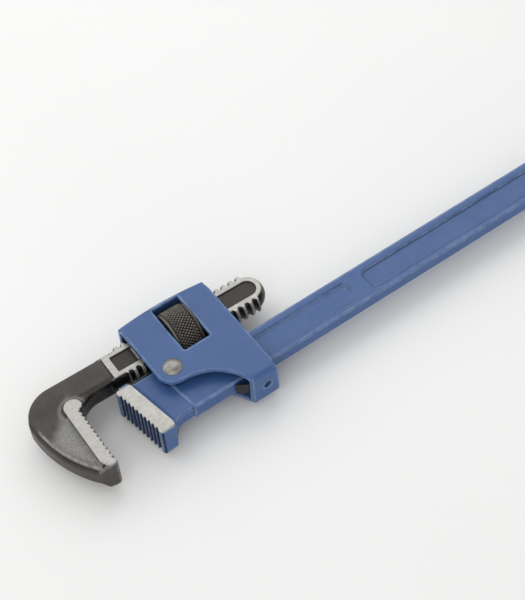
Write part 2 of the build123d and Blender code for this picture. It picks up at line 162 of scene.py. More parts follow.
def outline(points, x, y):
    """Signed distance to a closed outline, negative inside."""
    nearest = np.full(np.broadcast(x, y).shape, np.inf)
    inside = np.zeros(nearest.shape, bool)
    for (ax, ay), (bx, by) in zip(points, points[1:] + points[:1]):
        along_x, along_y = bx - ax, by - ay
        length = along_x**2 + along_y**2
        if length < 1e-12:
            continue
        from_x, from_y = x - ax, y - ay
        share = np.clip((from_x * along_x + from_y * along_y) / length, 0, 1)
        gap = (from_x - share * along_x) ** 2 + (from_y - share * along_y) ** 2
        nearest = np.minimum(nearest, gap)
        if along_y:
            inside ^= ((ay > y) != (by > y)) & (from_x < along_x * from_y / along_y)
    return np.where(inside, -1, 1) * np.sqrt(nearest)


def slot(x, y, low, high, radius):
    """Signed distance to a rectangle with rounded corners."""
    across = np.abs(x - (low[0] + high[0]) / 2) - (high[0] - low[0]) / 2 + radius
    up = np.abs(y - (low[1] + high[1]) / 2) - (high[1] - low[1]) / 2 + radius
    outer = np.hypot(np.maximum(across, 0), np.maximum(up, 0))
    return outer + np.minimum(np.maximum(across, up), 0) - radius


def plate(flat, z, half, edge):
    """A flat shape given its thickness, with rounded rims."""
    side = flat + edge
    up = np.abs(z) - half + edge
    outer = np.hypot(np.maximum(side, 0), np.maximum(up, 0))
    return outer + np.minimum(np.maximum(side, up), 0) - edge


def arc(centre, radii, start, end, count=12):
    """Points along an arc of a circle or ellipse, angles in degrees."""
    angles = np.radians(np.linspace(start, end, count))
    return [(centre[0] + radii[0] * math.cos(a), centre[1] + radii[1] * math.sin(a)) for a in angles]


def tangent_arc(start, heading, end, count=14):
    """Points along the arc that leaves a point at a heading in degrees and reaches another."""
    (x0, y0), (x1, y1) = start, end
    heading = math.radians(heading)
    half = (math.atan2(y1 - y0, x1 - x0) - heading + math.pi) % (2 * math.pi) - math.pi
    radius = math.hypot(x1 - x0, y1 - y0) / (2 * math.sin(half))
    middle = (x0 - radius * math.sin(heading), y0 + radius * math.cos(heading))
    turns = np.linspace(heading, heading + 2 * half, count)
    return [(middle[0] + radius * math.sin(a), middle[1] - radius * math.cos(a)) for a in turns]


def rounded(points, radius):
    """A closed outline with its corners rounded."""
    result = []
    for before, here, after in zip(points[-1:] + points[:-1], points, points[1:] + points[:1]):
        here = np.array(here)
        back, ahead = np.array(before) - here, np.array(after) - here
        back, ahead = back / np.linalg.norm(back), ahead / np.linalg.norm(ahead)
        half = math.acos(float(np.clip(back @ ahead, -1, 1))) / 2
        reach = radius / math.tan(half)
        middle = here + (back + ahead) / np.linalg.norm(back + ahead) * radius / math.sin(half)
        for share in np.linspace(0, 1, 5):
            toward = here + back * reach * (1 - share) + ahead * reach * share - middle
            result.append(tuple(middle + toward / np.linalg.norm(toward) * radius))
    return result


def skin(field, low, high, step):
    """Vertices and faces of the surface where a field is zero, by surface nets."""
    axes = [np.arange(a - 1.5 * step, b + 2 * step, step) for a, b in zip(low, high)]
    value = np.array(field(axes[0][:, None, None], axes[1][None, :, None], axes[2][None, None, :]))
    solid = value < 0
    cells = tuple(n - 1 for n in value.shape)
    total = np.zeros(cells + (3,))
    count = np.zeros(cells)
    edges = []
    for axis in range(3):
        here = [slice(None)] * 3
        there = [slice(None)] * 3
        here[axis] = slice(0, -1)
        there[axis] = slice(1, None)
        a, b = value[tuple(here)], value[tuple(there)]
        crossing = solid[tuple(here)] != solid[tuple(there)]
        share = np.where(crossing, a / np.where(crossing, a - b, 1), 0)
        edges.append((crossing, solid[tuple(here)]))
        others = [k for k in range(3) if k != axis]
        for first in (0, 1):
            for second in (0, 1):
                part = [slice(None)] * 3
                part[others[0]] = slice(first, first + cells[others[0]])
                part[others[1]] = slice(second, second + cells[others[1]])
                hit = crossing[tuple(part)]
                count += hit
                total[..., axis] += share[tuple(part)]
                total[..., others[0]] += first * hit
                total[..., others[1]] += second * hit
    used = count > 0
    number = np.full(cells, -1)
    number[used] = np.arange(used.sum())
    corner = np.argwhere(used) + total[used] / count[used][:, None]
    points = np.array([a[0] for a in axes]) + corner * step
    faces = []
    for axis, (crossing, inner) in enumerate(edges):
        others = [k for k in range(3) if k != axis]
        inside = [slice(None)] * 3
        inside[others[0]] = slice(1, -1)
        inside[others[1]] = slice(1, -1)
        where = np.argwhere(crossing[tuple(inside)])
        where[:, others[0]] += 1
        where[:, others[1]] += 1
        ring = []
        for first, second in ((1, 1), (0, 1), (0, 0), (1, 0)):
            cell = where.copy()
            cell[:, others[0]] -= first
            cell[:, others[1]] -= second
            ring.append(number[tuple(cell.T)])
        quads = np.stack(ring, 1)
        flip = inner[tuple(where.T)] == (axis == 1)
        quads[flip] = quads[flip][:, ::-1]
        faces.append(quads)
    return settle(field, points, step), np.concatenate(faces)


def slope(field, points, reach=0.05):
    """The field's gradient at each point."""
    sides = []
    for axis in range(3):
        offset = np.zeros(3)
        offset[axis] = reach
        ahead, behind = points + offset, points - offset
        sides.append((field(*ahead.T) - field(*behind.T)) / (2 * reach))
    return np.stack(sides, 1)


def settle(field, points, step):
    """Points moved onto the zero surface."""
    for _ in range(3):
        gradient = slope(field, points)
        size = np.maximum((gradient**2).sum(1), 0.05)
        move = -(field(*points.T) / size)[:, None] * gradient
        length = np.linalg.norm(move, axis=1, keepdims=True)
        points = points + move * np.minimum(1, 0.4 * step / np.maximum(length, 1e-9))
    return points


# ------------------------------------------------------------------ meshes
def to_row(points):
    """From millimetres about the rivet to metres in the row frame."""
    return (np.asarray(points, float) + RIVET) / 1000


def along_shank(points):
    """From millimetres about the nut centre along the shank to millimetres about the rivet."""
    points = np.asarray(points, float)
    c, s = math.cos(SHANK_TILT), math.sin(SHANK_TILT)
    x = points[:, 0] * c - points[:, 1] * s
    y = points[:, 0] * s + points[:, 1] * c
    return np.stack([x, y, points[:, 2]], 1) + NUT_CENTRE


def make(name, points, faces, material, body, node, marks=None, smooth_faces=True):
    """A mesh piece that rides on a body in place of a CAD node, with marks as vertex attributes."""
    mesh = bpy.data.meshes.new(name)
    mesh.from_pydata(to_row(points).tolist(), [], [list(map(int, face)) for face in faces])
    for mark, values in (marks or {}).items():
        mesh.attributes.new(mark, "FLOAT", "POINT").data.foreach_set("value", values.astype(np.float32))
    mesh.materials.append(material)
    mesh.validate()
    mesh.update()
    mesh.polygons.foreach_set("use_smooth", [smooth_faces] * len(mesh.polygons))
    piece = bpy.data.objects.new(name, mesh)
    bpy.context.scene.collection.objects.link(piece)
    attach(piece, body)
    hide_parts(node)
    return piece


def grid_faces(rows, columns, wrap_rows, wrap_columns):
    """Quads over a grid of points, closed on itself where asked."""
    faces = []
    for i in range(rows if wrap_rows else rows - 1):
        for j in range(columns if wrap_columns else columns - 1):
            a, b = i * columns + j, i * columns + (j + 1) % columns
            c, d = ((i + 1) % rows) * columns + (j + 1) % columns, ((i + 1) % rows) * columns + j
            faces.append((a, b, c, d))
    return faces


# ------------------------------------------------------------------ handle
HEAD_OUTLINE = (
    [(-30.4, 5.0), (-28.2, HEAD_TOP_Y), (0.0, HEAD_TOP_Y), (4.0, 4.0), (4.0, BAR_NEAR_Y)]
    + [(-10.0, BAR_NEAR_Y), (-13.6, -24.3), (-18.0, -28.6), (-24.0, -28.6)]
)
HUB_OUTLINE = [
    (-4.9, -5.0), (-4.6, 2.0), (4.0, 5.0), (16.0, -1.3),
    (40.0, -1.3), (40.0, -23.6), (-2.8, -23.6),
]
HEEL_OUTLINE = rounded(
    [(-32.2, 5.8), (-31.6, 4.2), (-26.7, -26.6), (-26.0, -29.5), (-17.6, -29.2), *reversed(HEEL_REAR)],
    1.5,
)
WEB_LOW, WEB_HIGH = (115.0, -20.6), (248.0, -5.4)
PANEL_OUTLINE = [(20.0, -19.9), (20.0, -5.8), (104.0, -5.8), (105.8, -12.0), (103.9, -19.9)]


def tooth_depth(along):
    """Depth of the jaw teeth, a distance along the toothed face from its first groove."""
    share = (along / TOOTH_PITCH) % 1
    steep, gentle = TOOTH_FLANKS
    return TOOTH_DEPTH * np.minimum(share / steep, (1 - share) / gentle)


def heel_face(x, y):
    """How far outside the heel's toothed face a point lies, and how far along it."""
    (x0, y0), (x1, y1) = HEEL_FACE
    length = math.hypot(x1 - x0, y1 - y0)
    ux, uy = (x1 - x0) / length, (y1 - y0) / length
    along = (x - x0) * ux + (y - y0) * uy
    outside = (x - x0) * uy - (y - y0) * ux
    return outside, along, length


def bar_half(x, y):
    """Half thickness of the bar: a dished web and a shallow bordered panel."""
    web = slot(x, y, WEB_LOW, WEB_HIGH, 4.0)
    crisp = smooth(-0.1, -1.5, web)
    soft = smooth(0.4, -1.8, web)
    near = smooth(-12.0, -17.0, y)
    half = BAR_HALF - WEB_DEPTH * (crisp * (1 - near) + soft * near)
    panel = outline(PANEL_OUTLINE, x, y)
    half = half - PANEL_DEPTH * smooth(0.2, -0.4, panel)
    return half + 0.3 * smooth(0.55, 0.25, np.abs(panel + PANEL_BORDER)) * smooth(-13.0, -10.0, y)


def heel_ramp(x, y):
    """Half thickness where the heel's land sweeps down to the head behind it."""
    (x0, y0), (x1, y1) = HEEL_REAR
    length = math.hypot(x1 - x0, y1 - y0)
    behind = ((x - x0) * (y1 - y0) - (y - y0) * (x1 - x0)) / -length
    drop = np.clip(HEEL_RAMP_RADIUS - behind, 0, HEEL_RAMP_RADIUS)
    rise = HEEL_RAMP_RADIUS - np.sqrt(np.maximum(HEEL_RAMP_RADIUS**2 - drop**2, 0))
    return HEAD_HALF + 0.85 * rise


def handle_solid(x, y, z):
    """The forged handle: bar, hub, head block and heel jaw, before the spring's holes."""
    bar = slot(x, y, (0.0, BAR_NEAR_Y), (HANDLE_END_X, BAR_CENTRE_Y + BAR_HALF_WIDTH), BAR_HALF_WIDTH)
    bar = np.maximum(bar, 6.0 - x)
    shape = plate(bar, z, bar_half(x, y), 0.9)
    head = outline(HEAD_OUTLINE, x, y)
    shape = join(shape, plate(head, z, heel_ramp(x, y), 1.1), 1.0)
    hub = outline(HUB_OUTLINE, x, y)
    shape = join(shape, plate(hub, z, HUB_HALF, 0.7), 0.5)
    shape = join(shape, plate(np.hypot(x, y) - BOSS_RADIUS, z, BOSS_HALF, 0.4), 0.8)
    outside, along, length = heel_face(x, y)
    toothed = (along > HEEL_TEETH_START) & (along < length - 1.0)
    face = outside + np.where(toothed, tooth_depth(along - HEEL_TEETH_START), 0)
    jaw = np.maximum(plate(outline(HEEL_OUTLINE, x, y), z, JAW_HALF, 0.5), face * 0.8)
    shape = join(np.maximum(shape, (outside + 2.5) * 0.8), jaw, 0.5)
    shape = cut(shape, np.hypot(x, y) - RIVET_RADIUS - PIVOT_CLEARANCE, 0.3)
    hang_hole = np.hypot(x - HANDLE_END_X + BAR_HALF_WIDTH, y - BAR_CENTRE_Y) - HANG_HOLE_RADIUS
    return cut(shape, hang_hole, 1.0)


def handle_field(x, y, z):
    """The handle with the pocket for the coil spring and the hole for the small rivet."""
    shape = handle_solid(x, y, z)
    pocket = np.maximum(np.hypot(x - COIL_X, z) - POCKET_RADIUS, POCKET_FLOOR_Y - y)
    rivet_hole = np.hypot(x - LEAF_RIVET_X, z) - LEAF_RIVET_RADIUS + np.maximum(3.0 - y, 0)
    return cut(cut(shape, pocket, 0.6), rivet_hole, 0.2)


def build_handle(material):
    """The handle, with its ground heel land marked."""
    points, faces = skin(handle_field, (-32, -30, -10), (275, 8, 10), 0.5)
    x, y, z = points.T
    ground = np.minimum(np.abs(z) - (JAW_HALF - 0.3), -outline(HEEL_OUTLINE, x, y) + 0.2)
    outside, along, _ = heel_face(x, y)
    # The groove mark sets where the enamel paints shade into the heel's tooth grooves.
    groove = smooth(0.15, 0.55, -outside) * (outside > -1.7) * (np.abs(z) < JAW_HALF - 0.2) * (y < 5.0)
    marks = {"ground": ground, "groove": groove * (along > 1.6)} | relief(handle_solid, points, 1.5)
    return make("handle_forging", points, faces, material, "handle", "handle_bar", marks)


def relief(field, points, reach):
    """Marks near 1 on outside edges and near 1 in inside corners, from the field's curvature."""
    gradient = slope(field, points)
    size = np.maximum(np.linalg.norm(gradient, axis=1, keepdims=True), 1e-6)
    step = gradient / size * reach
    dip = 1 + field(*(points - step).T) / size[:, 0] / reach
    rise = 1 - field(*(points + step).T) / size[:, 0] / reach
    return {"edge": smooth(0.06, 0.2, dip), "corner": smooth(0.05, 0.3, rise)}


# ------------------------------------------------------------------ frame
def spine_arc(drop, count=16):
    """Points along the arched spine, lowered by a wall thickness."""
    ends = (SPINE[0][0], SPINE[0][1] - drop), (SPINE[2][0], SPINE[2][1] - drop)
    middle = (SPINE[1][0], SPINE[1][1] - drop)
    points = []
    for x in np.linspace(ends[0][0], ends[1][0], count):
        a = (x - middle[0]) * (x - ends[1][0]) / ((ends[0][0] - middle[0]) * (ends[0][0] - ends[1][0]))
        b = (x - ends[0][0]) * (x - ends[1][0]) / ((middle[0] - ends[0][0]) * (middle[0] - ends[1][0]))
        c = (x - ends[0][0]) * (x - middle[0]) / ((ends[1][0] - ends[0][0]) * (ends[1][0] - middle[0]))
        points.append((x, a * ends[0][1] + b * middle[1] + c * ends[1][1]))
    return points


def frame_outline():
    """The side plate of the frame: spine, nose round the rivet, hollow belly and square rear."""
    nose_start = math.degrees(math.acos(FRAME_FRONT_X / NOSE_RADIUS))
    nose = arc((0, 0), (NOSE_RADIUS, NOSE_RADIUS), 360 - nose_start, 270)
    belly = tangent_arc((0, -NOSE_RADIUS), 0, (STRAP_FRONT_X, BELLY_END_Y), 18)
    strap = [(STRAP_FRONT_X + 0.8, STRAP_OUTER_Y), (FRAME_REAR_X, STRAP_OUTER_Y)]
    return spine_arc(0) + nose + belly[1:] + strap


FRAME_OUTLINE = frame_outline()
CAVITY_OUTLINE = [
    (FRAME_REAR_X + 20, SPINE[0][1] - SPINE_THICKNESS - 2), *spine_arc(SPINE_THICKNESS),
    (FRAME_FRONT_X - 20, SPINE[2][1] - SPINE_THICKNESS), (FRAME_FRONT_X - 20, STRAP_INNER_Y),
    (FRAME_REAR_X + 20, STRAP_INNER_Y),
]
WINDOW_LOW, WINDOW_HIGH = (10.85, 4.9), (27.0, 36.4)


def frame_field(x, y, z):
    """The frame: plates joined by a rolled spine and strap, with windows and holes."""
    rolled = np.maximum(smooth(30, 36, y), smooth(-27, -31, y))
    shape = plate(outline(FRAME_OUTLINE, x, y), z, FRAME_HALF, 0.8 + 2.1 * rolled)
    shape = cut(shape, plate(outline(CAVITY_OUTLINE, x, y), z, FRAME_INNER_HALF, 1.0), 0.5)
    shape = cut(shape, slot(x, y, WINDOW_LOW, WINDOW_HIGH, 1.0), 0.5)
    shape = cut(shape, np.hypot(x, y) - RIVET_RADIUS, 0.2)
    pip = np.maximum(np.hypot(x - PIP_X, z) - PIP_RADIUS, y - STRAP_INNER_Y - 2)
    return cut(shape, pip, 0.3)


def build_frame(material):
    """The frame housing."""
    points, faces = skin(frame_field, (-10, -33, -12), (44, 40, 12), 0.45)
    marks = {"ground": np.full(len(points), -1.0), "groove": np.zeros(len(points))}
    marks |= relief(frame_field, points, 1.1)
    return make("frame_shell", points, faces, material, "frame", "frame_housing", marks)


# ------------------------------------------------------------------ hook jaw
def hook_outline():
    """The neck and the hooked head, all in arcs that run into each other."""
    over = tangent_arc(HOOK_CROWN, 180, HOOK_FRONT, 18)
    down = tangent_arc(HOOK_FRONT, 270, HOOK_FLANK, 16)
    chord = math.degrees(math.atan2(HOOK_FLANK[1] - HOOK_FRONT[1], HOOK_FLANK[0] - HOOK_FRONT[0])) % 360
    under = tangent_arc(HOOK_FLANK, 2 * chord - 270, (-74.8, HOOK_TIP_Y), 8)
    tip = [(-70.6, HOOK_TIP_Y), (HOOK_TEETH_X, HOOK_TIP_Y + 1.0), (HOOK_TEETH_X, -16.5)]
    throat = [(-69.1, -15.2), (-68.1, -14.1), (-67.0, -13.2), (-64.9, -11.5), (-62.8, -10.3), (-60.4, -9.4)]
    neck = [(-58.0, NECK_BOTTOM_Y), (SHANK_START_X, NECK_BOTTOM_Y), (SHANK_START_X, NECK_TOP_Y)]
    return [*over, *down[1:], *under[1:], *tip, *throat, *neck]


HOOK_OUTLINE = hook_outline()
LAND_OUTLINE = (
    arc(LAND_END, (LAND_END_RADIUS, LAND_END_RADIUS), -10, 180, 16)
    + [(LAND_LEFT_X, -48.2), (-75.6, -50.6), (-74.4, -52.6), (-73.4, HOOK_TIP_Y), (-70.6, HOOK_TIP_Y)]
    + [(HOOK_TEETH_X, HOOK_TIP_Y + 1.0), (HOOK_TEETH_X, -16.5), (-67.3, -13.7)]
)


def thread_radius(x, y, z):
    """Radius of the thread on the shank, a true helix about its axis."""
    turn = np.arctan2(z, y) / (2 * math.pi)
    along = x - FIRST_THREAD_X - THREAD_PITCH * turn + THREAD_PITCH / 2
    offset = np.abs(along % THREAD_PITCH - THREAD_PITCH / 2)
    height = (THREAD_MAJOR - THREAD_ROOT) * (1 - smooth(0.6, 1.5, offset))
    return THREAD_ROOT + height * smooth(*THREAD_RUNOUT, x)


def shank_recess(x, y):
    """Signed distance to the long recess with its round rear end."""
    square = np.maximum(np.abs(y) - RECESS_HALF_WIDTH, np.maximum(RECESS_START_X - x, x - SHANK_END_CENTRE_X))
    return np.minimum(square, np.hypot(x - SHANK_END_CENTRE_X, y) - RECESS_HALF_WIDTH)


def shank_width(x, y, z):
    """Radius of the shank about its axis: threaded, then turned down to a round end."""
    threaded = thread_radius(x, y, z)
    end = SHANK_END_CENTRE_X + 1.6
    return np.where(x < end, threaded, THREAD_ROOT)


def shank_field(x, y, z):
    """The flat threaded shank."""
    reach = np.hypot(np.maximum(x - SHANK_END_CENTRE_X, 0), np.hypot(y, z))
    edge = (reach - shank_width(x, y, z)) * 0.85
    half = SHANK_HALF - RECESS_DEPTH * smooth(0.15, -0.35, shank_recess(x, y))
    within = smooth(RECESS_HALF_WIDTH, RECESS_HALF_WIDTH - 0.5, np.abs(y))
    half = half + 0.3 * smooth(0.9, 0.2, np.abs(x - CROSS_BAR_X)) * within
    return np.maximum(plate(edge, z, half, 0.3), SHANK_START_X - 3 - x)


def hook_teeth(x, y):
    """The toothed face of the hook jaw."""
    first = HOOK_TIP_Y + HOOK_TEETH_START
    toothed = (y > first) & (y < first + HOOK_TEETH * TOOTH_PITCH - 0.1)
    return x - HOOK_TEETH_X + np.where(toothed, tooth_depth(first - y), 0)


def hook_field(x, y, z):
    """The hook jaw: a stepped head, its neck, the tooth land and the shank."""
    flat = outline(HOOK_OUTLINE, x, y)
    lower = smooth(-2.0, -8.0, y) * smooth(-70.0, -76.0, x)
    sharp = smooth(-80.5, -75.5, x) * smooth(-46.0, -50.0, y)
    skirt = plate(flat, z, SKIRT_HALF + SKIRT_TIP_RISE * sharp, 1.7 - 0.9 * sharp)
    bevel = NECK_HALF - 0.55 * smooth(3.0, 1.0, y - NECK_BOTTOM_Y) * smooth(-68.0, -64.0, x)
    upper = plate(flat + 0.25 + 1.2 * lower, z, bevel - 0.35 * smooth(3.2, 5.2, -flat) * lower, 1.9)
    head = np.minimum(skirt, upper)
    toothed = (y > HOOK_TIP_Y) & (y < -15.0)
    head = np.where(toothed, np.maximum(head, hook_teeth(x, y) * 0.8), head)
    land = plate(outline(LAND_OUTLINE, x, y), z, JAW_HALF, 0.4)
    land = np.where(toothed, np.maximum(land, hook_teeth(x, y) * 0.8), land)
    shape = join(head, land, 1.0)
    return join(shape, shank_field(x, y, z), 0.5)


def hook_marks(x, y, z):
    """Where the hook jaw is ground, threaded, gritty or chafed, and where painted shade makes it black, for
    its material.
    """
    flat, reach = np.abs(z), np.hypot(y, z)
    inside, recess = -outline(HOOK_OUTLINE, x, y), shank_recess(x, y)
    land = np.minimum(flat - (JAW_HALF - 0.25), -outline(LAND_OUTLINE, x, y) + 0.3)
    sides = np.minimum(np.minimum(flat - (SHANK_HALF - 0.2), recess - 0.1), x - SHANK_START_X)
    bar = np.minimum(0.45 - np.abs(x - CROSS_BAR_X), -1.0 - recess)
    tops = np.minimum(np.minimum(reach - THREAD_MAJOR + 0.45, x + 37.0), SHANK_END_CENTRE_X + 1.2 - x)
    upper = -13.0 - y - 0.9 * (LAND_LEFT_X - x)
    flank = np.minimum(np.minimum(upper, LAND_LEFT_X - x + 1.0), (inside - 3.6) * 1.5)
    # Painted shade marks: under the neck, the recess walls, the notch, the recess floor and the thread
    # flanks.
    under = smooth(0.8, -0.6, flat - NECK_HALF + 1.6) * smooth(-5.0, -8.0, y) * smooth(-70.5, -68.5, x)
    walls = smooth(0.6, 0.3, np.abs(recess)) * (flat < SHANK_HALF - 0.12)
    from_notch = np.hypot(x - NOTCH_CENTRE[0], y - NOTCH_CENTRE[1])
    notch = np.exp(-((from_notch / 1.1) ** 2)) * (flat > 6)
    floor = 0.53 * (recess < 0)
    edges = smooth(-0.3, 0.3, np.minimum(reach - 8.0, x - RECESS_START_X)) * (flat < SHANK_HALF - 0.1)
    rim = np.exp(-(((inside - 2.3) / 0.6) ** 2)) * smooth(-10.0, -18.0, y)
    # Distance from the land, for a lighter band and a painted-shade halo round it.
    around = outline(LAND_OUTLINE, x, y) + 10 * smooth(-14.0, -19.0, y)
    return {
        "rim": rim * (flat > 6) * (x < LAND_LEFT_X - 0.5),
        "ground": np.maximum.reduce([land, sides, np.where(flat > 5, bar, -1.0)]),
        "thread": np.where(flat < SHANK_HALF - 0.2, tops, -1.0),
        "shade": np.maximum.reduce([under, walls, notch, floor, edges]),
        "ring": np.where(flat > 5, around, 10.0),
        "grit": np.where(flat > 5.6, flank, -12.0),
    }


def build_hook(material):
    """The hook jaw, with its ground faces and sand-textured flank marked."""
    points, faces = skin(hook_field, (-96, -54, -10.5), (52, 12, 10.5), 0.42)
    marks = hook_marks(*points.T) | relief(hook_field, points, 1.6)
    placed = along_shank(points)
    return make("hook_jaw_forging", placed, faces, material, "hook", "hook_jaw", marks)


# ------------------------------------------------------------------ nut, rivet and spring
def build_nut(material):
    """The nut as one closed grid round the shank's axis, knurled outside and threaded inside."""
    around = KNURL_STARTS * 8
    angles = np.linspace(0, 2 * math.pi, around, endpoint=False)
    land = NUT_HALF_WIDTH - NUT_CHAMFER - 0.5
    outer = [(x, "knurl") for x in np.linspace(-land, land, 72)]
    rim = [(NUT_HALF_WIDTH - NUT_CHAMFER, NUT_RADIUS), (NUT_HALF_WIDTH, NUT_RADIUS - NUT_CHAMFER)]
    rim += [(NUT_HALF_WIDTH, NUT_BORE + 0.3)]
    bore = [(x, "bore") for x in np.linspace(NUT_HALF_WIDTH - 0.3, -NUT_HALF_WIDTH + 0.3, 60)]
    profile = outer + rim + bore + [(-x, r) for x, r in reversed(rim)]
    points = np.zeros((len(profile), around, 3))
    for row, (x, radius) in enumerate(profile):
        if radius == "knurl":
            height = knurl(x, angles) * smooth(land, land - 0.5, abs(x))
            radius = NUT_RADIUS - KNURL_DEPTH * (1 - height)
        elif radius == "bore":
            along = x - FIRST_THREAD_X - THREAD_PITCH * angles / (2 * math.pi)
            offset = np.abs(along % THREAD_PITCH - THREAD_PITCH / 2)
            ridge = (1 - smooth(0.4, 1.0, offset)) * smooth(NUT_HALF_WIDTH, NUT_HALF_WIDTH - 0.8, abs(x))
            radius = NUT_BORE - 1.5 * ridge
        points[row] = np.stack([np.full(around, x), radius * np.cos(angles), radius * np.sin(angles)], 1)
    flat = points.reshape(-1, 3)
    heights = (np.hypot(flat[:, 1], flat[:, 2]) - (NUT_RADIUS - KNURL_DEPTH)) / KNURL_DEPTH
    heights[len(outer) * around:(len(outer) + 2) * around] = 0.7
    heights[-2 * around:] = 0.7
    faces = grid_faces(len(profile), around, True, True)
    placed, marks = along_shank(flat), {"height": heights}
    return make("knurled_nut", placed, faces, material, "nut", "adjusting_nut", marks)


def knurl(x, angles):
    """Height from 0 to 1 of a diamond knurl."""
    lead = 2 * math.pi * NUT_RADIUS / KNURL_STARTS * 1.24
    turned = angles / (2 * math.pi) * KNURL_STARTS
    waves = [np.abs(((turned + side * x / lead) % 1) - 0.5) * 2 for side in (1, -1)]
    return smooth(0.02, 0.6, 1 - np.maximum(*waves))


def build_rivet(material):
    """The rivet, a domed head on each side with a peened, slightly dished middle."""
    sphere = (RIVET_HEAD_RADIUS**2 + RIVET_HEAD_HEIGHT**2) / (2 * RIVET_HEAD_HEIGHT)
    reach = np.linspace(0.25, RIVET_HEAD_RADIUS, 26)
    dome = FRAME_HALF + RIVET_HEAD_HEIGHT - sphere + np.sqrt(sphere**2 - reach**2)
    dome = dome - 0.3 * np.exp(-((reach / 1.9) ** 2))
    head = list(zip(reach, dome))
    head += [(RIVET_HEAD_RADIUS - 0.1, FRAME_HALF - 0.05), (RIVET_RADIUS, FRAME_HALF - 0.05)]
    profile = head + [(r, -z) for r, z in reversed(head)]
    around = 72
    angles = np.linspace(0, 2 * math.pi, around, endpoint=False)
    random = np.random.default_rng(4)
    dents = [(random.uniform(0, 2.6), random.uniform(0, 6.28), random.uniform(0.7, 1.3)) for _ in range(7)]
    points = []
    for radius, height in profile:
        x, y = radius * np.cos(angles), radius * np.sin(angles)
        z = np.full(around, float(height))
        for far, turn, size in dents:
            gap = ((x - far * math.cos(turn)) ** 2 + (y - far * math.sin(turn)) ** 2) / size**2
            z = z - math.copysign(0.06, height) * np.exp(-gap) * (abs(height) > FRAME_HALF + 0.3)
        points.append(np.stack([x, y, z], 1))
    faces = grid_faces(len(profile), around, False, True)
    faces += [tuple(range(around))[::-1], tuple(range((len(profile) - 1) * around, len(profile) * around))]
    points = np.concatenate(points)
    return make("domed_rivet", points, faces, material, "frame", "pivot_rivet")


def build_frame_leaf(material):
    """The frame's flat spring, from its seat on the strap to its tip against the handle."""
    half_thick, half_wide = 0.4, 4.0
    seat = STRAP_INNER_Y + half_thick
    line = [(42.0, seat), (38.0, seat)] + tangent_arc((34.0, seat), 180, (22.0, -24.5), 24)
    points = []
    ring = [(-1, -1), (-1, 1), (1, 1), (1, -1)]
    for index, (x, y) in enumerate(line):
        ahead, behind = line[min(index + 1, len(line) - 1)], line[max(index - 1, 0)]
        along = np.array([ahead[0] - behind[0], ahead[1] - behind[1]])
        normal = np.array([-along[1], along[0]]) / np.linalg.norm(along)
        for side, up in ring:
            offset = normal * side * half_thick
            points.append((x + offset[0], y + offset[1], up * half_wide))
    faces = [tuple(reversed(face)) for face in grid_faces(len(line), 4, False, True)]
    faces += [(0, 1, 2, 3), tuple(4 * len(line) - 1 - k for k in range(4))]
    piece = make(
        "strap_leaf", points, faces, material, "frame", "frame_leaf_spring",
        smooth_faces=False,
    )
    bevel = piece.modifiers.new("ease", "BEVEL")
    bevel.width = 0.0001
    bevel.segments = 2
    apply_modifiers(piece)
    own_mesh(piece)
    return piece


def apply_modifiers(piece):
    """The piece's mesh as its modifiers leave it."""
    graph = bpy.context.evaluated_depsgraph_get()
    piece.data = bpy.data.meshes.new_from_object(piece.evaluated_get(graph))
    piece.modifiers.clear()


# ------------------------------------------------------------------ materials
class Paint:
    """A node material, with short calls for the nodes used here."""

    def __init__(self, name):
        self.material = bpy.data.materials.new(name)
        self.material.use_nodes = True
        self.nodes = self.material.node_tree.nodes
        self.links = self.material.node_tree.links
        self.shader = self.nodes["Principled BSDF"]
        self.place = self.nodes.new("ShaderNodeTexCoord").outputs["Object"]

    def put(self, target, value):
        """Links a socket to a socket, or sets it to a value."""
        if isinstance(value, bpy.types.NodeSocket):
            self.links.new(value, target)
        else:
            target.default_value = value

    def mark(self, name):
        """A vertex attribute as a number."""
        node = self.nodes.new("ShaderNodeAttribute")
        node.attribute_name = name
        return node.outputs["Fac"]

    def noise(self, scale, detail=3.0, roughness=0.55, stretch=None):
        """Noise with a scale in features per metre."""
        node = self.nodes.new("ShaderNodeTexNoise")
        place = self.place
        if stretch:
            mapping = self.nodes.new("ShaderNodeMapping")
            mapping.inputs["Scale"].default_value = stretch
            self.put(mapping.inputs["Vector"], place)
            place = mapping.outputs["Vector"]
        self.put(node.inputs["Vector"], place)
        node.inputs["Scale"].default_value = scale
        node.inputs["Detail"].default_value = detail
        node.inputs["Roughness"].default_value = roughness
        return node.outputs["Fac"]

    def spread(self, value, low, high, to_low=0.0, to_high=1.0):
        """A number moved from one range to another, held within it."""
        node = self.nodes.new("ShaderNodeMapRange")
        node.interpolation_type = "SMOOTHSTEP"
        self.put(node.inputs["Value"], value)
        for name, number in (("From Min", low), ("From Max", high), ("To Min", to_low), ("To Max", to_high)):
            node.inputs[name].default_value = number
        return node.outputs["Result"]

    def sum(self, kind, a, b):
        """Arithmetic on two numbers or sockets."""
        node = self.nodes.new("ShaderNodeMath")
        node.operation = kind
        self.put(node.inputs[0], a)
        self.put(node.inputs[1], b)
        return node.outputs["Value"]

    def mix(self, share, a, b):
        """Two colours mixed by a share."""
        node = self.nodes.new("ShaderNodeMix")
        node.data_type = "RGBA"
        self.put(node.inputs["Factor"], share)
        for target, value in ((node.inputs[6], a), (node.inputs[7], b)):
            self.put(target, value if isinstance(value, bpy.types.NodeSocket) else (*value, 1.0))
        return node.outputs[2]

    def bump(self, heights, distance, strength=1.0, below=None):
        """A bump of a height field in metres, on top of another bump."""
        node = self.nodes.new("ShaderNodeBump")
        node.inputs["Distance"].default_value = distance
        node.inputs["Strength"].default_value = strength
        self.put(node.inputs["Height"], heights)
        if below is not None:
            self.put(node.inputs["Normal"], below)
        return node.outputs["Normal"]

    def finish(self, colour, roughness, metallic, normal=None):
        """Plugs the finish into the shader."""
        self.put(self.shader.inputs["Base Color"], colour)
        self.put(self.shader.inputs["Roughness"], roughness)
        self.put(self.shader.inputs["Metallic"], metallic)
        if normal is not None:
            self.put(self.shader.inputs["Normal"], normal)
        return self.material


